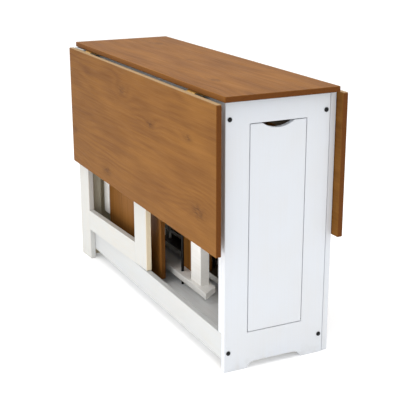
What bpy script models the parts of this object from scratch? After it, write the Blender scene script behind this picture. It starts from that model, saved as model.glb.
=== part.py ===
"""Gateleg table with two drop leaves, and two folding chairs stored in its frame.

Metres, +Z up, standing on z = 0. +X points to the end with the storage flap, and the long
sides face -Y (front) and +Y (back). Both leaves hang down and both gates are folded in.
The back side is the front side turned half a turn about the vertical centre line, so each
side is built in the same coordinates under an empty of its own. The chairs lie back to back.

Run it with: blender --background --python part.py
"""

import math

import bmesh
import bpy
from mathutils import Matrix, Vector

GAP = 0.0003  # between pieces that touch
UP = (0, 0, 1)

# Top and leaves
HEIGHT = 0.760
TOP_LENGTH = 1.112
TOP_DEPTH = 0.338
TOP_THICKNESS = 0.015
TOP_CORNER = 0.004
LEAF_WIDTH = 0.398
TOP_UNDERSIDE = HEIGHT - TOP_THICKNESS

# Carcass
END_X = 0.531  # outer face of an end panel
CARCASS_Y = 0.1545  # outer face of the rails, and the edges of the end panels
BOARD = 0.018
INNER_X = END_X - BOARD
INNER_Y = CARCASS_Y - BOARD
RAIL_LOW = 0.035
RAIL_HIGH = 0.1085
APRON_LOW = 0.675
BATTEN_X = 0.018
BATTEN_Y = 0.036
FOOT_LENGTH = 0.070
FOOT_CURVE = 0.028
FOOT_RISE = 0.018
SHELF_TOP = 0.056
SHELF_THICKNESS = 0.012
CLEAT = 0.018

# Frame bolts
BOLT_Y = 0.1425
BOLT_LOW = 0.0565
BOLT_HIGH = 0.6965
BOLT_RADIUS = 0.0025
BOLT_LENGTH = 0.050
BOLT_HEAD_RADIUS = 0.0063
BOLT_HEAD_RISE = 0.0034

# Storage flap, in the +X end
FLAP_WIDTH = 0.166
FLAP_LOW = 0.108
FLAP_HIGH = 0.679
FLAP_THICKNESS = 0.016
FLAP_GROOVE = 0.002
SCOOP_WIDTH = 0.095
SCOOP_DEPTH = 0.015
PIVOT_INSET = 0.0045  # pivot pins, from the flap's outer face and from its bottom edge
PIVOT_RADIUS = 0.002
PIVOT_REACH = 0.012
FLAP_AXIS_X = END_X - PIVOT_INSET
FLAP_AXIS_Z = FLAP_LOW + PIVOT_INSET

# Gates
GATE_PIVOT_X = {"front": -0.047, "back": -0.025}
GATE_PIVOT_Y = -CARCASS_Y + BOARD / 2
GATE_REACH = 0.502  # pivot to the leg's outer edge
POST_WIDTH = 0.086
LEG_WIDTH = 0.080
GATE_RAIL = 0.070
GATE_LOW = RAIL_HIGH + 0.0015
GATE_HIGH = APRON_LOW - 0.0015
LEG_TOP = TOP_UNDERSIDE - 0.002
GATE_PEG_RADIUS = 0.005
GATE_PEG_REACH = 0.014
# A folded gate's leg lies against the face of the base rail, so it stands off this much.
GATE_ANGLE = math.asin((BOARD + GAP) / (GATE_REACH - LEG_WIDTH))

# Leaf hinges
HINGE_X = 0.395
HINGE_LENGTH = 0.100
LEAF_STANDOFF = 0.0085  # hanging leaf's inner face, out from the edge of the top
KNUCKLE_OUT = 0.0035  # hinge pin, out from the edge of the top
BUTT_GAP = 0.001  # between the edge of the top and that of a raised leaf
KNUCKLE_RADIUS = 0.003
HINGE_PIN_RADIUS = 0.0013
PLATE_THICKNESS = 0.0015
TOP_PLATE_WIDTH = 0.015  # of a plate, from the hinge axis to its inner edge
LEAF_PLATE_WIDTH = 0.0215
HINGE_Y = -TOP_DEPTH / 2 - KNUCKLE_OUT
HINGE_Z = TOP_UNDERSIDE - LEAF_STANDOFF + KNUCKLE_OUT
PLATE_HIGH = LEAF_STANDOFF - KNUCKLE_OUT - GAP  # a top plate's upper face, from the hinge axis
LEAF_INNER = KNUCKLE_OUT - LEAF_STANDOFF  # the leaf's inner face, from the hinge axis
LEAF_EDGE = KNUCKLE_OUT - BUTT_GAP  # the leaf's upper edge, from the hinge axis
# Turns a hinge plate from its place under the top over to its place on the hanging leaf.
OVER_TO_LEAF = Matrix(((-1, 0, 0, 0), (0, 0, -1, 0), (0, -1, 0, 0), (0, 0, 0, 1)))

# Stored chairs: each lies on one side, with its width upright. The back one is turned over.
CHAIR_LOW = 0.080
CHAIR_WIDTH = 0.420
CHAIR_BAR = 0.020
CHAIR_BAR_FRONT = -0.058
CHAIR_BAR_BACK = -0.006
CHAIR_HEAD_X = -0.500
CHAIR_FOOT_X = 0.226
CHAIR_FOOT_CUT = 0.042
SEAT_FRONT = -0.104
SEAT_THICKNESS = 0.015
SEAT_DROP = 0.005  # how much lower the seat lies than the frame
SEAT_HEAD_X = -0.446
SEAT_FOOT_X = 0.0
CREST_RAIL_X = (-0.500, -0.455)
CREST_RAIL_Z = (0.162, 0.418)
CREST_LAP = 0.005  # how far the crest rail is let into the battens behind it
SEAT_BATTEN_END_X = -0.150
SEAT_BATTEN_HEIGHT = 0.025
SEAT_BATTEN_LOWS = (0.165, 0.390)
FOOT_RAIL_X = (0.095, 0.163)
FOOT_RAIL_Y = (-0.045, -0.017)
BACK_SLAT_X = (-0.036, 0.050)
BACK_SLAT_Y = (-0.0185, -0.0065)
ROD_RADIUS = 0.0045
STAY_X = 0.022  # a rod that stands on the shelf and carries the chair
STAY_Y = -0.040
SEAT_PIVOT_X = -0.300
SEAT_PIVOT_Y = -0.031
BACK_CHAIR_SHIFT = (0.012, 0.025)  # along the table and towards its back

# Finishes: colour, roughness, metallic
WHITE = ((0.80, 0.82, 0.84, 1), 0.45, 0.0)
WARM_WHITE = ((0.80, 0.79, 0.75, 1), 0.50, 0.0)
PINE = ((0.33, 0.15, 0.05, 1), 0.42, 0.0)
SEAT_PINE = ((0.27, 0.12, 0.04, 1), 0.50, 0.0)
BLACK_STEEL = ((0.01, 0.01, 0.012, 1), 0.35, 0.8)
BRASS = ((0.60, 0.42, 0.16, 1), 0.35, 1.0)
STEEL = ((0.50, 0.50, 0.50, 1), 0.30, 1.0)


# ---------------------------------------------------------------- scene and materials


def clear_scene():
    """Removes the startup scene's objects, and makes the collections that this file fills."""
    for obj in list(bpy.data.objects):
        bpy.data.objects.remove(obj, do_unlink=True)
    for name in ("gateleg_table", "cutters"):
        collection = bpy.data.collections.new(name)
        bpy.context.scene.collection.children.link(collection)
    bpy.data.collections["cutters"].hide_render = True


def set_material(obj, finish):
    """Gives an object a Principled BSDF material of its own."""
    colour, roughness, metallic = finish
    made = bpy.data.materials.new(obj.name)
    made.use_nodes = True
    shader = made.node_tree.nodes["Principled BSDF"]
    shader.inputs["Base Color"].default_value = colour
    shader.inputs["Roughness"].default_value = roughness
    shader.inputs["Metallic"].default_value = metallic
    obj.data.materials.clear()
    obj.data.materials.append(made)


def add_object(name, mesh, finish, location=(0, 0, 0), parent=None):
    """Links a mesh into the table's collection. Its location counts from its parent, if any."""
    obj = bpy.data.objects.new(name, mesh)
    obj.location = location
    obj.parent = parent
    bpy.data.collections["gateleg_table"].objects.link(obj)
    set_material(obj, finish)
    return obj


def add_empty(name, location=(0, 0, 0), turn=(0, 0, 0), parent=None):
    """An empty that carries other pieces. A joint's empty lies on its axis."""
    empty = bpy.data.objects.new(name, None)
    empty.location = location
    empty.rotation_euler = turn
    empty.parent = parent
    bpy.data.collections["gateleg_table"].objects.link(empty)
    return empty


# ---------------------------------------------------------------- shapes


def mesh_from(bm, name):
    """Turns a bmesh into a mesh whose faces point out, and frees it."""
    mesh = bpy.data.meshes.new(name)
    bmesh.ops.recalc_face_normals(bm, faces=bm.faces)
    bm.to_mesh(mesh)
    bm.free()
    return mesh


def facing(axis, at):
    """A place at a point, with its own +Z along an axis."""
    turn = Vector((0, 0, 1)).rotation_difference(Vector(axis)).to_matrix().to_4x4()
    return Matrix.Translation(at) @ turn


def add_cube(bm, low, high):
    """Adds a box between two corners to a bmesh."""
    low, high = Vector(low), Vector(high)
    place = Matrix.Translation((low + high) / 2) @ Matrix.Diagonal((high - low).to_4d())
    bmesh.ops.create_cube(bm, size=1, matrix=place)


def add_cylinder(bm, centre, axis, radius, length, segments=24):
    """Adds a capped cylinder, centred on a point, to a bmesh."""
    bmesh.ops.create_cone(
        bm,
        cap_ends=True,
        segments=segments,
        radius1=radius,
        radius2=radius,
        depth=length,
        matrix=facing(axis, centre),
    )


def board(name, low, high, finish, edge=0.001, parent=None):
    """A board with eased edges, between two corners in the parent's space."""
    middle = (Vector(low) + Vector(high)) / 2
    bm = bmesh.new()
    add_cube(bm, Vector(low) - middle, Vector(high) - middle)
    obj = add_object(name, mesh_from(bm, name), finish, middle, parent)
    ease(obj, edge)
    return obj


def ease(obj, width):
    """Takes an object's sharp edges off, as on a sanded or painted board."""
    bevel = obj.modifiers.new("eased_edges", "BEVEL")
    bevel.width = width
    bevel.segments = 1
    bevel.limit_method = "ANGLE"


def round_corners(obj, radius, along):
    """Rounds the four edges of a plain board that run along one of its axes."""
    bm = bmesh.new()
    bm.from_mesh(obj.data)
    edges = [
        e for e in bm.edges if abs((e.verts[1].co - e.verts[0].co).normalized()[along]) > 0.99
    ]
    bmesh.ops.bevel(
        bm, geom=edges, offset=radius, segments=4, profile=0.5, affect="EDGES"
    )
    bm.to_mesh(obj.data)
    bm.free()


def rod(name, shape, finish, segments=24, parent=None):
    """A plain pin or rod, given as (centre, axis, radius, length)."""
    bm = bmesh.new()
    add_cylinder(bm, *shape, segments)
    return add_object(name, mesh_from(bm, name), finish, parent=parent)


def combine(obj, mesh, operation):
    """Adds a mesh to an object, or takes it away, in the space of the object's parent."""
    tool = bpy.data.objects.new(mesh.name, mesh)
    tool.parent = obj.parent
    tool.hide_render = True
    tool.display_type = "WIRE"
    bpy.data.collections["cutters"].objects.link(tool)
    boolean = obj.modifiers.new(mesh.name, "BOOLEAN")
    boolean.operation = operation
    boolean.solver = "EXACT"
    boolean.object = tool


def bore(obj, holes, segments=24):
    """Cuts round holes, each given as (centre, axis, radius, length)."""
    bm = bmesh.new()
    for centre, axis, radius, length in holes:
        add_cylinder(bm, centre, axis, radius, length, segments)
    combine(obj, mesh_from(bm, obj.name + "_bores"), "DIFFERENCE")


def add_bolt(name, place, finish, segments=16):
    """A dome-headed bolt turned about its own axis. Its head sits at a place."""
    dome = [
        (BOLT_HEAD_RADIUS * math.cos(a), BOLT_HEAD_RISE * (0.35 + 0.65 * math.sin(a)))
        for a in (math.radians(22.5 * step) for step in range(4))
    ]
    shank = [(0, -BOLT_LENGTH), (BOLT_RADIUS, -BOLT_LENGTH), (BOLT_RADIUS, 0)]
    profile = [*shank, (BOLT_HEAD_RADIUS, 0), *dome, (0, BOLT_HEAD_RISE)]
    bm = bmesh.new()
    verts = [bm.verts.new((radius, 0, height)) for radius, height in profile]
    edges = [bm.edges.new(pair) for pair in zip(verts, verts[1:])]
    bmesh.ops.spin(
        bm,
        geom=verts + edges,
        cent=(0, 0, 0),
        axis=(0, 0, 1),
        angle=2 * math.pi,
        steps=segments,
    )
    bmesh.ops.remove_doubles(bm, verts=bm.verts, dist=1e-6)
    bolt = add_object(name, mesh_from(bm, name), finish)
    bolt.matrix_world = place


def bolt_hole(place):
    """The hole for a bolt whose head sits at a place."""
    axis = place.to_3x3() @ Vector((0, 0, 1))
    reach = BOLT_LENGTH + 4 * GAP
    return (place.translation - axis * (reach / 2 - GAP), axis, BOLT_RADIUS + GAP, reach)


def arc(centre, radius, start, end, steps):
    """Points on an arc from one angle to another, in degrees."""
    angles = [math.radians(start + (end - start) * i / steps) for i in range(steps + 1)]
    return [
        (centre[0] + radius * math.cos(a), centre[1] + radius * math.sin(a)) for a in angles
    ]


def outlined_mesh(name, outlines, thickness):
    """A board that faces along X, cut to a rim of (y, z) points and to any openings after it."""
    curve = bpy.data.curves.new(name, "CURVE")
    curve.dimensions = "2D"
    curve.fill_mode = "BOTH"
    curve.extrude = thickness / 2
    for points in outlines:
        spline = curve.splines.new("POLY")
        spline.points.add(len(points) - 1)
        for point, (y, z) in zip(spline.points, points):
            point.co = (y, z, 0, 1)
        spline.use_cyclic_u = True
    shape = bpy.data.objects.new(name + "_outline", curve)
    flat = bpy.data.meshes.new_from_object(shape)
    bpy.data.objects.remove(shape, do_unlink=True)
    bm = bmesh.new()
    bm.from_mesh(flat)
    bpy.data.meshes.remove(flat)
    bmesh.ops.remove_doubles(bm, verts=bm.verts, dist=1e-5)
    upright = Matrix(((0, 0, 1, 0), (1, 0, 0, 0), (0, 1, 0, 0), (0, 0, 0, 1)))
    bmesh.ops.transform(bm, matrix=upright, verts=bm.verts)
    return mesh_from(bm, name)


# ---------------------------------------------------------------- carcass


def panel_rim():
    """The outline of an end panel: two feet, with a shallow arch between them."""
    inner = CARCASS_Y - FOOT_LENGTH
    arch = [
        (inner - FOOT_CURVE * (1 - math.cos(a)), FOOT_RISE * math.sin(a))
        for a in (math.radians(15 * step) for step in range(7))
    ]
    right = [(CARCASS_Y, TOP_UNDERSIDE - GAP), (CARCASS_Y, 0), *arch]
    return right + [(-y, z) for y, z in reversed(right)]


def bolt_places(x_side):
    """The frame bolts of one end panel, by name, each as the place where its head sits."""
    x = x_side * (END_X + GAP)
    return {
        f"{level}_{face}": facing((x_side, 0, 0), (x, y, z))
        for level, z in (("low", BOLT_LOW), ("high", BOLT_HIGH))
        for face, y in (("front", -BOLT_Y), ("back", BOLT_Y))
    }


def make_ends():
    """Both end panels with their frame bolts. The near one has the doorway of the flap."""
    half = FLAP_WIDTH / 2 + FLAP_GROOVE
    low, high = FLAP_LOW - FLAP_GROOVE, FLAP_HIGH + FLAP_GROOVE
    doorway = [(-half, low), (half, low), (half, high), (-half, high)]
    for end, x_side, outlines in (
        ("near", 1, [panel_rim(), doorway]),
        ("far", -1, [panel_rim()]),
    ):
        name = "end_panel_" + end
        mesh = outlined_mesh(name, outlines, BOARD)
        panel = add_object(name, mesh, WHITE, (x_side * (END_X - BOARD / 2), 0, 0))
        ease(panel, 0.0008)
        holes = [bolt_hole(place) for place in bolt_places(x_side).values()]
        if end == "near":
            holes += [flap_pin(FLAP_AXIS_X, edge, FLAP_AXIS_Z, GAP) for edge in (-1, 1)]
        bore(panel, holes)
        for bolt, place in bolt_places(x_side).items():
            add_bolt(f"frame_bolt_{end}_{bolt}", place, BLACK_STEEL)


def make_side_rails(name, side):
    """The base rail and the apron of one side, with a cleat that holds up the shelf."""
    length = INNER_X - GAP
    bolts = [*bolt_places(1).values(), *bolt_places(-1).values()]
    for kind, low, high, meets_gate in (
        ("base_rail_", RAIL_LOW, RAIL_HIGH, RAIL_HIGH),
        ("apron_", APRON_LOW, TOP_UNDERSIDE - GAP, APRON_LOW),
    ):
        rail = board(
            kind + name,
            (-length, -CARCASS_Y, low),
            (length, -INNER_Y, high),
            WHITE,
            parent=side,
        )
        into_rail = [b for b in bolts if b.translation.y < 0 and low < b.translation.z < high]
        peg_hole = gate_peg((GATE_PIVOT_X[name], GATE_PIVOT_Y, meets_gate), GAP)
        bore(rail, [*map(bolt_hole, into_rail), peg_hole])
    board(
        "shelf_cleat_" + name,
        (-length, -INNER_Y + GAP, RAIL_LOW),
        (length, -INNER_Y + GAP + CLEAT, SHELF_TOP - SHELF_THICKNESS - GAP),
        WHITE,
        parent=side,
    )
    for end, x_side in (("near", 1), ("far", -1)):
        low_x, high_x = sorted((x_side * (INNER_X - GAP), x_side * (INNER_X - BATTEN_X)))
        if name == "back":
            low_x, high_x = -high_x, -low_x
        board(
            f"corner_batten_{end}_{name}",
            (low_x, -CARCASS_Y, RAIL_HIGH + GAP),
            (high_x, -CARCASS_Y + BATTEN_Y, APRON_LOW - GAP),
            WHITE,
            parent=side,
        )


def make_shelf_and_cleats():
    """The shelf that the stored chairs lie on, and the cleats that hold the top."""
    board(
        "base_shelf",
        (-INNER_X + GAP, -INNER_Y + GAP, SHELF_TOP - SHELF_THICKNESS),
        (INNER_X - GAP, INNER_Y - GAP, SHELF_TOP),
        WHITE,
    )
    for end, x_side in (("near", 1), ("far", -1)):
        low_x, high_x = sorted((x_side * (INNER_X - GAP), x_side * (INNER_X - CLEAT)))
        board(
            "top_cleat_" + end,
            (low_x, -INNER_Y + GAP, TOP_UNDERSIDE - GAP - CLEAT),
            (high_x, INNER_Y - GAP, TOP_UNDERSIDE - GAP),
            WARM_WHITE,
        )


# ---------------------------------------------------------------- storage flap


def flap_pin(x, edge, z, clearance=0.0):
    """A pivot pin of the flap, or its hole, at the edge of the flap on side -1 or 1."""
    centre = (x, edge * FLAP_WIDTH / 2, z)
    return (centre, (0, 1, 0), PIVOT_RADIUS + clearance, 2 * (PIVOT_REACH + clearance))


def make_flap():
    """The drop-down flap with its finger scoop, its pivot pins and the catch at its top."""
    axis = add_empty("flap_axis", (FLAP_AXIS_X, 0, FLAP_AXIS_Z))
    half = FLAP_WIDTH / 2
    low, high = FLAP_LOW - FLAP_AXIS_Z, FLAP_HIGH - FLAP_AXIS_Z
    radius = (SCOOP_WIDTH**2 / 4 + SCOOP_DEPTH**2) / (2 * SCOOP_DEPTH)
    reach = math.degrees(math.asin(SCOOP_WIDTH / 2 / radius))
    scoop = arc((0, high - SCOOP_DEPTH + radius), radius, 270 + reach, 270 - reach, 20)
    rim = [(-half, low), (half, low), (half, high), *scoop, (-half, high)]
    outer_x = END_X - FLAP_AXIS_X
    inner_x = outer_x - FLAP_THICKNESS
    mesh = outlined_mesh("end_flap", [rim], FLAP_THICKNESS)
    flap = add_object("end_flap", mesh, WHITE, ((outer_x + inner_x) / 2, 0, 0), axis)
    ease(flap, 0.0008)
    bore(flap, [flap_pin(0, edge, 0, GAP) for edge in (-1, 1)])
    for face, edge in (("front", -1), ("back", 1)):
        pin = flap_pin(FLAP_AXIS_X, edge, FLAP_AXIS_Z)
        rod("flap_pivot_pin_" + face, pin, STEEL, 20)
    board(
        "flap_catch",
        (INNER_X - GAP - 0.014, 0.054, FLAP_HIGH - 0.012),
        (INNER_X - GAP, 0.080, FLAP_HIGH + 0.020),
        WARM_WHITE,
        0.0008,
    )


# ---------------------------------------------------------------- gates


def gate_peg(meeting_point, clearance=0.0):
    """The round peg on which a gate turns, or its hole, where its post meets a rail."""
    radius = GATE_PEG_RADIUS + clearance
    return (meeting_point, (0, 0, 1), radius, 2 * (GATE_PEG_REACH + clearance))


def make_gate(name, side):
    """A gate on its pivot: a post, a leg to the floor and two rails between them."""
    pivot = (GATE_PIVOT_X[name], GATE_PIVOT_Y, 0)
    name = "gate_" + name
    axis = add_empty(name + "_axis", pivot, (0, 0, GATE_ANGLE), side)
    half = BOARD / 2
    leg_edge = -GATE_REACH + LEG_WIDTH
    post_edge = -POST_WIDTH / 2
    post = board(
        name + "_post",
        (post_edge, -half, GATE_LOW),
        (-post_edge, half, GATE_HIGH),
        WARM_WHITE,
        parent=axis,
    )
    pegs = bmesh.new()
    for height in (RAIL_HIGH, APRON_LOW):
        add_cylinder(pegs, *gate_peg((0, 0, height)))
    combine(post, mesh_from(pegs, name + "_pegs"), "UNION")
    board(
        name + "_leg",
        (-GATE_REACH, -half, 0),
        (leg_edge, half, LEG_TOP),
        WARM_WHITE,
        parent=axis,
    )
    for kind, low in (("_lower_rail", GATE_LOW), ("_upper_rail", GATE_HIGH - GATE_RAIL)):
        board(
            name + kind,
            (leg_edge + GAP, -half, low),
            (post_edge - GAP, half, low + GATE_RAIL),
            WARM_WHITE,
            0.0006,
            axis,
        )


# ---------------------------------------------------------------- top, leaves and hinges


def make_hinge_plate(name, plate_width, turn, finish, parent=None):
    """A hinge plate with a half barrel at its -X end, cut back round the other plate's barrel.

    It is shaped as it stands under the top, in the space of its hinge, and turned from there.
    """
    low = PLATE_HIGH - PLATE_THICKNESS
    outline = [
        (plate_width, low),
        (plate_width, PLATE_HIGH),
        (KNUCKLE_RADIUS / 2, PLATE_HIGH),
        *arc((0, 0), KNUCKLE_RADIUS, 60, 360, 15),
        (KNUCKLE_RADIUS, low),
    ]
    mesh = outlined_mesh(name, [outline], HINGE_LENGTH)
    mesh.transform(turn)
    plate = add_object(name, mesh, finish, parent=parent)
    reach = 2 * KNUCKLE_RADIUS
    clearance, pin_bore = bmesh.new(), bmesh.new()
    add_cube(clearance, (-GAP / 2, -reach, -reach), (HINGE_LENGTH, KNUCKLE_RADIUS + GAP, reach))
    bore_radius = HINGE_PIN_RADIUS + GAP
    add_cylinder(pin_bore, (0, 0, 0), (1, 0, 0), bore_radius, 2 * HINGE_LENGTH, 16)
    for kind, bm in (("_clearance", clearance), ("_pin_bore", pin_bore)):
        bmesh.ops.transform(bm, matrix=turn, verts=bm.verts)
        combine(plate, mesh_from(bm, name + kind), "DIFFERENCE")


def make_leaf(name, side):
    """A hanging drop leaf. Its empty lies on the axis of the hinge pins."""
    axis = add_empty(name + "_axis", (0, HINGE_Y, HINGE_Z), parent=side)
    leaf = board(
        name,
        (-TOP_LENGTH / 2, LEAF_INNER - TOP_THICKNESS, LEAF_EDGE - LEAF_WIDTH),
        (TOP_LENGTH / 2, LEAF_INNER, LEAF_EDGE),
        PINE,
        0.0012,
        axis,
    )
    round_corners(leaf, TOP_CORNER, 1)
    return axis


def make_hinges(name, side, leaf_axis):
    """The two hinges of one leaf: a plate under the top, a plate on the leaf, and a pin."""
    for end, x in (("near", HINGE_X), ("far", -HINGE_X)):
        if name == "back":
            x = -x
        label = f"{name}_{end}"
        under_top = Matrix.Translation((x, HINGE_Y, HINGE_Z))
        make_hinge_plate("hinge_plate_top_" + label, TOP_PLATE_WIDTH, under_top, BRASS, side)
        on_leaf = Matrix.Translation((x, 0, 0)) @ OVER_TO_LEAF
        make_hinge_plate(
            "hinge_plate_leaf_" + label, LEAF_PLATE_WIDTH, on_leaf, BRASS, leaf_axis
        )
        pin = (under_top.translation, (1, 0, 0), HINGE_PIN_RADIUS, HINGE_LENGTH)
        rod("hinge_pin_" + label, pin, STEEL, 16, side)


def make_top():
    """The fixed top board."""
    top = board(
        "table_top",
        (-TOP_LENGTH / 2, -TOP_DEPTH / 2, TOP_UNDERSIDE),
        (TOP_LENGTH / 2, TOP_DEPTH / 2, HEIGHT),
        PINE,
        0.0012,
    )
    round_corners(top, TOP_CORNER, 2)


# ---------------------------------------------------------------- stored chairs


def make_chair(name, side):
    """A folding chair on its side: a ladder frame, and a seat folded against the frame."""
    middle = CHAIR_LOW + CHAIR_WIDTH / 2
    top = CHAIR_LOW + CHAIR_WIDTH
    seat_back = SEAT_FRONT + SEAT_THICKNESS
    stay_centre = (STAY_X, STAY_Y, middle)
    stay_length = 2 * (middle - SHELF_TOP - GAP)
    pivot_centre = (SEAT_PIVOT_X, SEAT_PIVOT_Y, middle)
    rod(name + "_stay", (stay_centre, UP, ROD_RADIUS, stay_length), BLACK_STEEL, 16, side)

    bars = bmesh.new()
    for low_z in (CHAIR_LOW, top - CHAIR_BAR):
        head = (CHAIR_HEAD_X, CHAIR_BAR_FRONT, low_z)
        add_cube(bars, head, (CHAIR_FOOT_X, CHAIR_BAR_BACK, low_z + CHAIR_BAR))
    for vert in bars.verts:
        if vert.co.x > 0 and vert.co.y > (CHAIR_BAR_FRONT + CHAIR_BAR_BACK) / 2:
            vert.co.x -= CHAIR_FOOT_CUT
    frame = add_object(
        name + "_frame", mesh_from(bars, name + "_frame"), WARM_WHITE, parent=side
    )
    ease(frame, 0.001)
    foot_rail = bmesh.new()
    low_z, high_z = CHAIR_LOW + CHAIR_BAR / 2, top - CHAIR_BAR / 2
    (low_x, high_x), (low_y, high_y) = FOOT_RAIL_X, FOOT_RAIL_Y
    add_cube(foot_rail, (low_x, low_y, low_z), (high_x, high_y, high_z))
    combine(frame, mesh_from(foot_rail, name + "_foot_rail"), "UNION")
    reach = 2 * stay_length
    bore(frame, [(at, UP, ROD_RADIUS + GAP, reach) for at in (stay_centre, pivot_centre)], 16)

    (low_x, high_x), (low_y, high_y) = BACK_SLAT_X, BACK_SLAT_Y
    low_z, high_z = CHAIR_LOW + CHAIR_BAR + GAP, top - CHAIR_BAR - GAP
    slat = ((low_x, low_y, low_z), (high_x, high_y, high_z))
    board(name + "_back_slat", *slat, SEAT_PINE, parent=side)
    low_z, high_z = CHAIR_LOW - SEAT_DROP, top - SEAT_DROP
    seat = ((SEAT_HEAD_X, SEAT_FRONT, low_z), (SEAT_FOOT_X, seat_back, high_z))
    board(name + "_seat", *seat, SEAT_PINE, parent=side)

    (low_x, high_x), (low_z, high_z) = CREST_RAIL_X, CREST_RAIL_Z
    crest = ((low_x, SEAT_FRONT, low_z), (high_x, seat_back + CREST_LAP, high_z))
    seat_frame = board(name + "_seat_frame", *crest, WARM_WHITE, parent=side)
    battens, pivot = bmesh.new(), bmesh.new()
    for low_z in SEAT_BATTEN_LOWS:
        low = (CREST_RAIL_X[0], seat_back + GAP, low_z)
        high = (SEAT_BATTEN_END_X, SEAT_PIVOT_Y + 2 * ROD_RADIUS, low_z + SEAT_BATTEN_HEIGHT)
        add_cube(battens, low, high)
    add_cylinder(pivot, pivot_centre, UP, ROD_RADIUS, CHAIR_WIDTH, 16)
    combine(seat_frame, mesh_from(battens, name + "_seat_battens"), "UNION")
    combine(seat_frame, mesh_from(pivot, name + "_seat_pivot"), "UNION")


# ---------------------------------------------------------------- the whole table


def main():
    clear_scene()
    make_ends()
    make_shelf_and_cleats()
    make_flap()
    make_top()
    turned_over = (*BACK_CHAIR_SHIFT, 2 * CHAIR_LOW + CHAIR_WIDTH)
    for name, turn, chair_at, chair_turn in (
        ("front", (0, 0, 0), (0, 0, 0), (0, 0, 0)),
        ("back", (0, 0, math.pi), turned_over, (math.pi, 0, 0)),
    ):
        side = add_empty(name + "_side", turn=turn)
        make_side_rails(name, side)
        make_gate(name, side)
        make_hinges(name, side, make_leaf("leaf_" + name, side))
        make_chair("chair_" + name, add_empty(f"chair_{name}_place", chair_at, chair_turn))


main()
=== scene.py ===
"""Looks of the gateleg table: stained pine, painted boards, hinge screws, light and camera."""

import math

import bmesh
import bpy
from mathutils import Matrix, Vector


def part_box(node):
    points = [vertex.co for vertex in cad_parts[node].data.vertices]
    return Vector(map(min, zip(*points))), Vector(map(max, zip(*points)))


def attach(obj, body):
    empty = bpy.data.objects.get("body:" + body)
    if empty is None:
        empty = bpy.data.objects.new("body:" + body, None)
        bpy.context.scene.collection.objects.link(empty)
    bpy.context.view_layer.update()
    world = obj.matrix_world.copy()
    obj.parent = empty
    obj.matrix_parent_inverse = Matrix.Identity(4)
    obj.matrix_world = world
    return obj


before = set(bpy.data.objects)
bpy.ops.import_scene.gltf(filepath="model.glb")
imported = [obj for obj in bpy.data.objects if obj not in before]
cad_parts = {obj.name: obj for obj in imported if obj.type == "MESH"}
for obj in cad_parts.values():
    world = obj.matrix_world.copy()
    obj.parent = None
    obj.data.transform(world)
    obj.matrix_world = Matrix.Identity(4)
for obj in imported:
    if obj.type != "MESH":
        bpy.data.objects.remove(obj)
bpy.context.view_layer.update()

# Camera: where it stands in metres, how it is turned in degrees, its lens and sensor in mm
CAMERA_PLACE = (2.623, -1.241, 1.208)
CAMERA_AZIMUTH = 63.61
CAMERA_ELEVATION = 17.43
CAMERA_LENS = 83.67
SENSOR_WIDTH = 36

# Soft boxes: name, place, the point it is aimed at, size, watts and linear colour
SOFT_BOXES = [
    ("overhead", (0.4, -0.6, 3.4), (0, 0, 0.5), 2.4, 46, (1, 1, 1)),
    ("key", (0.7, -2.3, 2.2), (0.1, 0, 0.2), 1.2, 6, (1.0, 0.96, 0.88)),
    ("low_fill", (0.5, -1.8, 0.35), (0.1, 0, 0.15), 0.6, 7, (1.0, 0.98, 0.95)),
]
FLOOR_SIZE = 30
FLOOR_GLOW = 0.14

# Colours, as sRGB from 0 to 255
STAIN_LIGHT = (141, 92, 35)
STAIN_DARK = (109, 66, 20)
STAIN_EDGE = (106, 60, 18)
# Deep stain in the knots and the end grain; on the edges of the chairs' seats and slats it is
# painted shade
DEEP_STAIN_AND_SHADE = (76, 42, 10)
# Painted highlight along the leaves' upper edges
LEAF_EDGE_HIGHLIGHT = (164, 136, 100)
LEAF_LIGHT = (134, 89, 34)
LEAF_DARK = (104, 63, 19)
SEAT_LIGHT = (143, 95, 43)
SEAT_DARK = (114, 72, 27)
# One white paint in two tints, painted light: the cool one on the end panels and flap, the warmer
# and darker one on the gates
WHITE_UNDER_COOL_LIGHT = (213, 217, 223)
WHITE_UNDER_WARM_LIGHT = (197, 198, 196)
RAIL_WHITE = (194, 197, 199)
SHELF_WHITE = (246, 249, 252)
CHAIR_WHITE = (252, 252, 250)
# Painted shade on the inner faces of the end panels and the flap
SHADED_INNER_WHITE = (186, 174, 148)
# Painted shade on the far corner batten inside the carcass
SHADED_BATTEN_WHITE = (176, 172, 154)
SAWN_EDGE = (240, 224, 194)
# Painted shade on the gates' inner faces
INSIDE_SHADE = (112, 102, 86)
# Painted shade: the top's underside, the chairs' inner faces and the tops of the back chair's bars
PAINTED_SHADE = (60, 50, 38)
PAINT_WORN = (205, 190, 164)
DUST = (150, 136, 116)
BRASS = (226, 184, 104)
# Painted shade: the leaf plates of the hinges are the same brass, darkened as if in shade
BRASS_IN_SHADE = (58, 46, 34)
BLACK = (11, 11, 12)
STEEL = (150, 150, 152)
FLOOR = (250, 250, 250)

# Growth rings of the pine
RING_SPACING = 0.0190
RING_DRIFT = 0.150  # how far the rings wander across the board
RING_WAVER = 0.005  # how far they tremble on the way
KNOT_STRETCH = 2.1  # length of a knot's bulge along the grain, over its reach across it
KNOT_FOCUS = 4.5  # how much tighter than its bulge the dark core of a knot is

# Layers of the grain, as length along it and width across it
DRIFTS = (0.60, 0.13)
WAVERS = (0.11, 0.016)
RING_PATCHES = (0.30, 0.07)
STAIN_PATCHES = (0.24, 0.055)
BANDS = (0.50, 0.017)
FIBRES = (0.13, 0.0026)
PORES = (0.018, 0.0008)
FEATHERS = (0.022, 0.004)
PAINTED_GRAIN = (0.20, 0.0036)
BRUSH_MARKS = (0.09, 0.0012)
FIBRE_RELIEF = 0.0002

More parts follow.
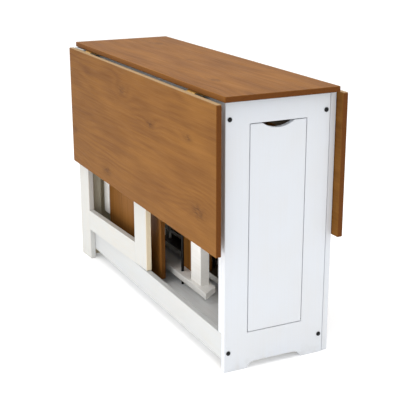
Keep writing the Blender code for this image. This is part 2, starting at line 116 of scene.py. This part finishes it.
# Noise per metre, and heights
PAINT_CLOUDS = 6.0
SCUFFS = 42.0
SCUFF_HEIGHT = 0.045  # above the floor, where the dust ends
METAL_SPOTS = 260.0
METAL_WEAR = 900.0
METAL_RELIEF = 0.00005

# Knots: x and z on the front leaf, reach across the grain, how far they push the rings aside
LEAF_KNOTS = [
    (-0.074, 0.674, 0.030, 0.036),
    (0.139, 0.612, 0.024, 0.024),
    (-0.222, 0.387, 0.034, -0.040),
    (-0.532, 0.463, 0.024, 0.026),
    (0.391, 0.627, 0.022, 0.020),
    (0.450, 0.440, 0.045, -0.036),
]
# The same for the top, at x and y
TOP_KNOTS = [
    (-0.020, 0.010, 0.018, 0.016),
    (0.330, -0.080, 0.026, 0.026),
    (-0.390, 0.070, 0.030, -0.030),
]

# Screws of the hinge plates, sockets of the frame bolts, cap nuts of the stays
PLATE_THICKNESS = 0.0015
SCREW_INSET = 0.0060  # from the free edge of a hinge plate
SCREW_RADIUS = 0.0030
SCREW_RISE = 0.0006
SCREW_SLOT = 0.0007
SCREW_SPACING = 0.036
CROSS_REACH = 0.62  # of a screw's cross, over the screw's radius
CROSS_ANGLES = (0.26, 0.52, 0.785, 1.05, 1.31)  # radians, along the head between two slots
SOCKET_RADIUS = 0.0034
SOCKET_INNER = 0.7  # inner over outer radius of a socket's rim
SOCKET_DEPTH = 0.0009
CAP_RADIUS = 0.0062
CAP_RISE = 0.0032


def linear(colour):
    """An sRGB colour from 0 to 255 as linear RGBA."""
    shares = [c / 255 for c in colour]
    return (*[s / 12.92 if s <= 0.04045 else ((s + 0.055) / 1.055) ** 2.4 for s in shares], 1)


# ---------------------------------------------------------------- material nodes


class Graph:
    """Builds one material's nodes. Every call takes sockets or plain values as inputs."""

    def __init__(self, name):
        self.material = bpy.data.materials.new(name)
        self.material.use_nodes = True
        self.tree = self.material.node_tree
        self.shader = self.tree.nodes["Principled BSDF"]
        coordinates = self.tree.nodes.new("ShaderNodeTexCoord")
        self.point = coordinates.outputs["Object"]
        self.normal = coordinates.outputs["Normal"]

    def feed(self, socket, value):
        if isinstance(value, bpy.types.NodeSocket):
            self.tree.links.new(value, socket)
        else:
            socket.default_value = value

    def math(self, operation, *values):
        node = self.tree.nodes.new("ShaderNodeMath")
        node.operation = operation
        for socket, value in zip(node.inputs, values):
            self.feed(socket, value)
        return node.outputs[0]

    def vector(self, operation, *values):
        node = self.tree.nodes.new("ShaderNodeVectorMath")
        node.operation = operation
        for socket, value in zip(node.inputs, values):
            self.feed(socket, value)
        return node.outputs["Value" if operation == "DOT_PRODUCT" else "Vector"]

    def part(self, vector, axis):
        """One coordinate of a vector."""
        node = self.tree.nodes.new("ShaderNodeSeparateXYZ")
        self.feed(node.inputs[0], vector)
        return node.outputs[axis]

    def noise(self, vector, scale, detail=2.0, roughness=0.5):
        node = self.tree.nodes.new("ShaderNodeTexNoise")
        self.feed(node.inputs["Vector"], vector)
        node.inputs["Scale"].default_value = scale
        node.inputs["Detail"].default_value = detail
        node.inputs["Roughness"].default_value = roughness
        return node.outputs["Fac"]

    def grain(self, along, layer, detail=2.0, shift=(0, 0, 0)):
        """Noise drawn out along one axis (0, 1 or 2), as (length along it, width across it)."""
        length, width = layer
        stretch = tuple(1 / length if axis == along else 1 / width for axis in range(3))
        moved = self.vector("ADD", self.point, shift)
        return self.noise(self.vector("MULTIPLY", moved, stretch), 1.0, detail)

    def remap(self, value, low, high, to_low=0.0, to_high=1.0):
        node = self.tree.nodes.new("ShaderNodeMapRange")
        for socket, number in zip(node.inputs, (value, low, high, to_low, to_high)):
            self.feed(socket, number)
        return node.outputs[0]

    def spread(self, noise, low, high):
        """Noise as a number that mostly lies between two values."""
        return self.remap(noise, 0.3, 0.7, low, high)

    def total(self, first, *others):
        for other in others:
            first = self.math("ADD", first, other)
        return first

    def mix(self, share, first, second):
        node = self.tree.nodes.new("ShaderNodeMix")
        node.data_type = "RGBA"
        self.feed(node.inputs[0], share)
        self.feed(node.inputs[6], first)
        self.feed(node.inputs[7], second)
        return node.outputs[2]

    def faced(self, colour, side):
        """A colour with another one on the faces that look in one direction."""
        direction, side_colour = side
        towards = self.vector("DOT_PRODUCT", self.normal, direction)
        return self.mix(self.remap(towards, 0.5, 0.9), colour, linear(side_colour))

    def bump(self, height, distance, strength):
        node = self.tree.nodes.new("ShaderNodeBump")
        self.feed(node.inputs["Height"], height)
        node.inputs["Distance"].default_value = distance
        node.inputs["Strength"].default_value = strength
        self.tree.links.new(node.outputs[0], self.shader.inputs["Normal"])

    def set(self, **inputs):
        """Sets inputs of the shader, and returns the finished material."""
        for name, value in inputs.items():
            self.feed(self.shader.inputs[name.replace("_", " ")], value)
        return self.material


def knot_field(g, knots, along, field):
    """The ring field pushed aside round each knot, and how much knot there is at a point."""
    core = 0.0
    for place, reach, push in knots:
        length = KNOT_STRETCH * reach
        scale = tuple(1 / length if axis == along else 1 / reach for axis in range(3))
        away = g.vector("MULTIPLY", g.vector("SUBTRACT", g.point, place), scale)
        square = g.vector("DOT_PRODUCT", away, away)
        bulge = g.math("EXPONENT", g.math("MULTIPLY", square, -1.0))
        field = g.math("MULTIPLY_ADD", bulge, push, field)
        spot = g.math("EXPONENT", g.math("MULTIPLY", square, -KNOT_FOCUS))
        core = g.math("MAXIMUM", spot, core)
    return field, core


def pine(name, board, knots, shift, colours, side):
    """Stained pine. A board is (axis along the grain, axis across it, axis of its face).

    Its rings bend round the knots. Its long sides are darker than its faces, and its end
    grain is darker still. A side, given as (direction, colour), is a face in another colour:
    the top's underside and the chairs' inner faces get painted shade this way, the leaves'
    upper edges a painted highlight.
    """
    along, across, face_axis = board
    light, dark, edge_colour = colours
    g = Graph(name)
    drift = g.math("MULTIPLY", g.grain(along, DRIFTS, 1.5, shift), RING_DRIFT)
    waver = g.math("MULTIPLY", g.grain(along, WAVERS, 1.0, shift), RING_WAVER)
    field = g.total(g.part(g.point, across), drift, waver)
    field, core = knot_field(g, knots, along, field)
    turns = g.math("MULTIPLY", field, 2 * math.pi / RING_SPACING)
    rings = g.math("POWER", g.math("MULTIPLY_ADD", g.math("SINE", turns), 0.5, 0.5), 1.6)
    strength = g.remap(g.grain(along, RING_PATCHES, 1.0, shift), 0.38, 0.66, 0.04, 0.24)
    fibres = g.grain(along, FIBRES, 3.0, shift)
    pores = g.grain(along, PORES, 2.0, shift)
    shade = g.total(
        g.math("MULTIPLY", rings, strength),
        g.spread(g.grain(along, STAIN_PATCHES, 2.0, shift), -0.10, 0.30),
        g.spread(g.grain(along, BANDS, 2.0, shift), -0.04, 0.20),
        g.spread(fibres, -0.04, 0.12),
        g.remap(pores, 0.35, 0.75, -0.03, 0.10),
    )
    colour = g.mix(g.remap(shade, -0.05, 0.75), linear(light), linear(dark))
    feather = g.remap(g.grain(along, FEATHERS, 2.0, shift), 0.38, 0.62, 0.15, 0.80)
    colour = g.mix(g.math("MULTIPLY", core, feather), colour, linear(DEEP_STAIN_AND_SHADE))
    flat_on = g.math("ABSOLUTE", g.part(g.normal, face_axis))
    on_long_side = g.remap(flat_on, 0.35, 0.85, 0.45, 0.0)
    on_end_grain = g.remap(g.math("ABSOLUTE", g.part(g.normal, along)), 0.35, 0.85)
    edge = g.mix(g.spread(fibres, 0.0, 0.6), linear(edge_colour), linear(DEEP_STAIN_AND_SHADE))
    colour = g.mix(g.math("MAXIMUM", on_long_side, on_end_grain), colour, edge)
    g.bump(g.total(fibres, pores), FIBRE_RELIEF, 0.6)
    return g.set(
        Base_Color=g.faced(colour, side),
        Roughness=g.spread(fibres, 0.50, 0.62),
        Specular_IOR_Level=0.10,
    )


def paint(name, colour, along, show_grain, side=None):
    """Satin paint over pine, with grain showing through, thin spots and dust at floor level.

    A side, given as (direction, colour), is a face in another colour: less paint on the
    posts' sides, painted shade on the inner faces of the end panels, flap and gates and on
    the tops of the back chair's bars.
    """
    g = Graph(name)
    lines = g.grain(along, PAINTED_GRAIN, 3.0)
    brushing = g.grain(along, BRUSH_MARKS)
    cloud = g.noise(g.point, PAINT_CLOUDS)
    thin = g.math("MULTIPLY", g.remap(lines, 0.42, 0.78), 0.30 * show_grain)
    thin = g.total(thin, g.remap(cloud, 0.4, 0.75, 0.0, 0.10))
    painted = g.mix(thin, linear(colour), linear(PAINT_WORN))
    low_down = g.remap(g.part(g.point, 2), 0.0, SCUFF_HEIGHT, 0.16, 0.0)
    scuffs = g.remap(g.noise(g.point, SCUFFS, 4.0), 0.45, 0.70)
    painted = g.mix(g.math("MULTIPLY", low_down, scuffs), painted, linear(DUST))
    if side:
        painted = g.faced(painted, side)
    g.bump(g.math("MULTIPLY_ADD", lines, show_grain, brushing), FIBRE_RELIEF, 0.25)
    return g.set(
        Base_Color=painted,
        Roughness=g.spread(brushing, 0.40, 0.52),
        Specular_IOR_Level=0.40,
    )


def metal(name, colour, roughness, metallic=1.0):
    """Plated or blacked metal with fine wear in its gloss."""
    g = Graph(name)
    wear = g.noise(g.point, METAL_WEAR, 3.0)
    spots = g.noise(g.point, METAL_SPOTS)
    darker = tuple(0.7 * c for c in colour)
    g.bump(wear, METAL_RELIEF, 0.4)
    return g.set(
        Base_Color=g.mix(g.remap(spots, 0.4, 0.7), linear(colour), linear(darker)),
        Roughness=g.spread(wear, roughness - 0.07, roughness + 0.1),
        Metallic=metallic,
    )


# ---------------------------------------------------------------- dressing the CAD pieces


def make_wood():
    """The materials of the top, of each leaf, and of the chairs' seats and slats."""
    stain = (STAIN_LIGHT, STAIN_DARK, STAIN_EDGE)
    leaf_stain = (LEAF_LIGHT, LEAF_DARK, STAIN_EDGE)
    # Painted shade on the edges of the chairs' seats and slats
    seat_stain_shaded_edges = (SEAT_LIGHT, SEAT_DARK, DEEP_STAIN_AND_SHADE)
    # Painted shade on the top's underside, a painted highlight on the leaves' upper edges
    under, upper_edge = ((0, 0, -1), PAINTED_SHADE), ((0, 0, 1), LEAF_EDGE_HIGHLIGHT)
    top_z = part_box("table_top")[1][2]
    top_knots = [((x, y, top_z), reach, push) for x, y, reach, push in TOP_KNOTS]
    wood = {"table_top": pine("pine_top", (0, 1, 2), top_knots, (0.3, 1.7, 0.0), stain, under)}
    for leaf, side in (("leaf_front", 1), ("leaf_back", -1)):
        # Painted shade on the chairs' faces that look into the table
        inside = ((0, side, 0), PAINTED_SHADE)
        face_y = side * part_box("leaf_front")[0][1]
        knots = [((side * x, face_y, z), reach, push) for x, z, reach, push in LEAF_KNOTS]
        shift = (1.3 * side, 0.0, 2.2 * side)
        wood[leaf] = pine("pine_" + leaf, (0, 2, 1), knots, shift, leaf_stain, upper_edge)
        for kind, shift in (("seat", (4.1, 0.3, 0.0)), ("back_slat", (1.9, 2.3, 0.7))):
            piece = leaf.replace("leaf", "chair") + "_" + kind
            wood[piece] = pine("pine_" + piece, (2, 0, 1), [], shift, seat_stain_shaded_edges, inside)
    return wood


def make_metals():
    """The metal materials, by the start of the names of the pieces that wear them."""
    black = metal("black_steel", BLACK, 0.42, 0.5)
    steel = metal("bare_steel", STEEL, 0.30)
    return {
        "frame_bolt": black,
        "chair_front_stay": black,
        "chair_back_stay": black,
        # Painted shade: the leaf plates are brass darkened as if in shade
        "hinge_plate_leaf": metal("brass_plate_in_shade", BRASS_IN_SHADE, 0.40),
        "hinge_plate_top": metal("brass_plate", BRASS, 0.32),
        "hinge_pin": steel,
        "flap_pivot": steel,
    }


def make_paints():
    """Paints by the start of the names of the pieces that wear them, most particular first."""
    # Painted shade on the inner faces of the end panels and the flap
    far_inside, near_inside = ((1, 0, 0), SHADED_INNER_WHITE), ((-1, 0, 0), SHADED_INNER_WHITE)
    return {
        "end_panel_far": paint("far_end_paint", WHITE_UNDER_COOL_LIGHT, 2, 0.35, far_inside),
        "end_panel_near": paint("near_end_paint", WHITE_UNDER_COOL_LIGHT, 2, 0.20, near_inside),
        "end_flap": paint("flap_paint", WHITE_UNDER_COOL_LIGHT, 2, 0.20, near_inside),
        # Painted shade on the batten inside the carcass
        "corner_batten_far": paint("batten_paint", SHADED_BATTEN_WHITE, 2, 0.5),
        # Painted shade on the upward faces of the back chair's bars
        "chair_back_frame": paint("shaded_top_paint", CHAIR_WHITE, 0, 0.5, ((0, 0, 1), PAINTED_SHADE)),
        "chair_": paint("chair_paint", CHAIR_WHITE, 0, 0.5),
        "gate_front_post": paint("post_paint", WHITE_UNDER_WARM_LIGHT, 2, 0.9, ((1, 0, 0), SAWN_EDGE)),
        "gate_back_post": paint("back_post_paint", WHITE_UNDER_WARM_LIGHT, 2, 0.9, ((-1, 0, 0), SAWN_EDGE)),
        "gate_front_leg": paint("leg_paint", WHITE_UNDER_WARM_LIGHT, 2, 0.9),
        "gate_back_leg": paint("back_leg_paint", WHITE_UNDER_COOL_LIGHT, 2, 0.5),
        # Painted shade on the inner faces of both gates
        "gate_back_": paint("back_gate_paint", WHITE_UNDER_WARM_LIGHT, 0, 0.9, ((0, -1, 0), INSIDE_SHADE)),
        "gate_front_": paint("front_gate_paint", WHITE_UNDER_WARM_LIGHT, 0, 0.9, ((0, 1, 0), INSIDE_SHADE)),
        "top_cleat": paint("cleat_paint", WHITE_UNDER_WARM_LIGHT, 1, 0.9),
        "flap_catch": paint("catch_paint", WHITE_UNDER_WARM_LIGHT, 2, 0.9),
        "base_shelf": paint("shelf_paint", SHELF_WHITE, 0, 0.6),
        "base_rail": paint("rail_paint", RAIL_WHITE, 0, 0.6),
        "": paint("paint_under_cool_light", WHITE_UNDER_COOL_LIGHT, 0, 0.35),
    }


def dress_all(metals):
    """Gives every CAD piece its material: a wood by its name, or a metal or paint by its start."""
    wood = make_wood()
    coats = {**metals, **make_paints()}
    for node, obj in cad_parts.items():
        kind = next(kind for kind in coats if node.startswith(kind))
        obj.data.materials.clear()
        obj.data.materials.append(wood.get(node) or coats[kind])


# ---------------------------------------------------------------- small fittings


def turned_shape(bm, profile, place, steps=20):
    """Adds a round shape to a bmesh from (radius, height) points, standing on a place."""
    verts = [bm.verts.new(place @ Vector((radius, 0, height))) for radius, height in profile]
    edges = [bm.edges.new(pair) for pair in zip(verts, verts[1:])]
    bmesh.ops.spin(
        bm,
        geom=verts + edges,
        cent=place.translation,
        axis=place.to_3x3() @ Vector((0, 0, 1)),
        angle=2 * math.pi,
        steps=steps,
    )


def prism(bm, corners, low, high, place):
    """Adds a closed prism to a bmesh, from (x, y) corners and two heights on a place."""
    rims = [[bm.verts.new(place @ Vector((x, y, z))) for x, y in corners] for z in (low, high)]
    bm.faces.new(rims[0])
    bm.faces.new(rims[1])
    for i in range(len(corners)):
        j = (i + 1) % len(corners)
        bm.faces.new((rims[0][i], rims[0][j], rims[1][j], rims[1][i]))


def fitting(name, bm, material, body):
    """Makes a finished bmesh into a piece that rides a body."""
    bmesh.ops.remove_doubles(bm, verts=bm.verts, dist=1e-6)
    bmesh.ops.recalc_face_normals(bm, faces=bm.faces)
    mesh = bpy.data.meshes.new(name)
    bm.to_mesh(mesh)
    bm.free()
    mesh.materials.append(material)
    piece = bpy.data.objects.new(name, mesh)
    bpy.context.scene.collection.objects.link(piece)
    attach(piece, body)
    return piece


def on_face(at, direction):
    """A place at a point, with its own +Z along a direction."""
    turn = Vector((0, 0, 1)).rotation_difference(Vector(direction)).to_matrix().to_4x4()
    return Matrix.Translation(at) @ turn


def cross_head_screw(bm, place):
    """A countersunk screw head with a cross in it, just proud of a plate."""
    arm, reach = SCREW_SLOT / 2, CROSS_REACH * SCREW_RADIUS
    low = 0.35 * SCREW_RISE
    ring = [(SCREW_RADIUS, 0), (0.93 * SCREW_RADIUS, 0.6 * SCREW_RISE), (reach, SCREW_RISE)]
    turned_shape(bm, [*ring, (reach, low), (0, low)], place)
    quarter = [(reach * math.cos(a), reach * math.sin(a)) for a in CROSS_ANGLES]
    for turn in range(4):
        spun = place @ Matrix.Rotation(turn * math.pi / 2, 4, "Z")
        prism(bm, [(arm, arm), *quarter], low, SCREW_RISE, spun)


def add_hinge_screws(material):
    """Three screws in each hinge plate, on the side that shows when the leaf is lifted."""
    for side, outward in (("front", -1), ("back", 1)):
        for end in ("near", "far"):
            for plate, body in (("leaf", "leaf_" + side), ("top", "root")):
                low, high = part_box(f"hinge_plate_{plate}_{side}_{end}")
                inner_y, outer_y = sorted((abs(low[1]), abs(high[1])))
                if plate == "top":
                    place = (outward * (inner_y + SCREW_INSET), high[2] - PLATE_THICKNESS)
                    direction = (0, 0, -1)
                else:
                    place = (outward * (outer_y - PLATE_THICKNESS), low[2] + SCREW_INSET)
                    direction = (0, -outward, 0)
                bm = bmesh.new()
                for step in (-1, 0, 1):
                    x = (low[0] + high[0]) / 2 + step * SCREW_SPACING
                    cross_head_screw(bm, on_face((x, *place), direction))
                fitting(f"hinge_screws_{plate}_{side}_{end}", bm, material, body)


def add_bolt_sockets(material):
    """A rim round the hexagonal socket in the head of each frame bolt."""
    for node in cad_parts:
        if not node.startswith("frame_bolt"):
            continue
        low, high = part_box(node)
        outward = 1 if high[0] > 0 else -1
        x = high[0] if outward > 0 else low[0]
        middle = ((low[1] + high[1]) / 2, (low[2] + high[2]) / 2)
        place = on_face((x - outward * SOCKET_DEPTH / 2, *middle), (outward, 0, 0))
        bm = bmesh.new()
        outer, inner = SOCKET_RADIUS, SOCKET_INNER * SOCKET_RADIUS
        angles = [math.radians(60 * step) for step in range(7)]
        for start, end in zip(angles, angles[1:]):
            corners = [
                (outer * math.cos(start), outer * math.sin(start)),
                (outer * math.cos(end), outer * math.sin(end)),
                (inner * math.cos(end), inner * math.sin(end)),
                (inner * math.cos(start), inner * math.sin(start)),
            ]
            prism(bm, corners, 0, SOCKET_DEPTH, place)
        fitting("socket_of_" + node, bm, material, "root")


def add_stay_caps(material):
    """A domed cap nut on the upper end of each chair's stay."""
    profile = [
        (CAP_RADIUS * math.cos(a), CAP_RISE * (0.4 + 0.6 * math.sin(a)))
        for a in (math.radians(18 * step) for step in range(6))
    ]
    for side in ("front", "back"):
        low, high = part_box(f"chair_{side}_stay")
        at = ((low[0] + high[0]) / 2, (low[1] + high[1]) / 2, high[2])
        bm = bmesh.new()
        turned_shape(bm, [(0, 0), (CAP_RADIUS, 0), *profile], on_face(at, (0, 0, 1)))
        fitting(f"stay_cap_{side}", bm, material, "root")


# ---------------------------------------------------------------- floor, light and camera


def make_floor():
    """A sheet of pale paper that glows a little, so that it stays white out to the horizon."""
    bm = bmesh.new()
    bmesh.ops.create_grid(bm, x_segments=1, y_segments=1, size=FLOOR_SIZE)
    mesh = bpy.data.meshes.new("floor")
    bm.to_mesh(mesh)
    bm.free()
    floor = bpy.data.objects.new("floor", mesh)
    bpy.context.scene.collection.objects.link(floor)
    g = Graph("floor_paper")
    glow = {"Emission_Color": (1, 1, 1, 1), "Emission_Strength": FLOOR_GLOW}
    mesh.materials.append(g.set(Base_Color=linear(FLOOR), Roughness=0.9, **glow))


def add_soft_box(name, place, target, size, watts, colour):
    """A square soft box aimed at a point."""
    data = bpy.data.lights.new(name, "AREA")
    data.shape = "SQUARE"
    data.size = size
    data.energy = watts
    data.color = colour
    light = bpy.data.objects.new(name, data)
    light.location = place
    light.rotation_euler = (Vector(target) - Vector(place)).to_track_quat("-Z", "Y").to_euler()
    bpy.context.scene.collection.objects.link(light)


def make_light():
    """An even white surround and the soft boxes."""
    world = bpy.data.worlds.new("studio")
    world.use_nodes = True
    sky = world.node_tree.nodes["Background"]
    sky.inputs["Color"].default_value = (1, 1, 1, 1)
    sky.inputs["Strength"].default_value = 1.0
    bpy.context.scene.world = world
    for soft_box in SOFT_BOXES:
        add_soft_box(*soft_box)


def make_camera():
    data = bpy.data.cameras.new("camera")
    data.lens = CAMERA_LENS
    data.sensor_width = SENSOR_WIDTH
    camera = bpy.data.objects.new("camera", data)
    azimuth = math.radians(CAMERA_AZIMUTH)
    tilt = math.radians(90 - CAMERA_ELEVATION)
    camera.matrix_world = (
        Matrix.Translation(CAMERA_PLACE)
        @ Matrix.Rotation(azimuth, 4, "Z")
        @ Matrix.Rotation(tilt, 4, "X")
    )
    bpy.context.scene.collection.objects.link(camera)
    bpy.context.scene.camera = camera


metals = make_metals()
dress_all(metals)
add_hinge_screws(metals["hinge_pin"])
add_bolt_sockets(metals["frame_bolt"])
add_stay_caps(metals["frame_bolt"])
make_floor()
make_light()
make_camera()
bpy.context.scene.view_settings.view_transform = "Standard"
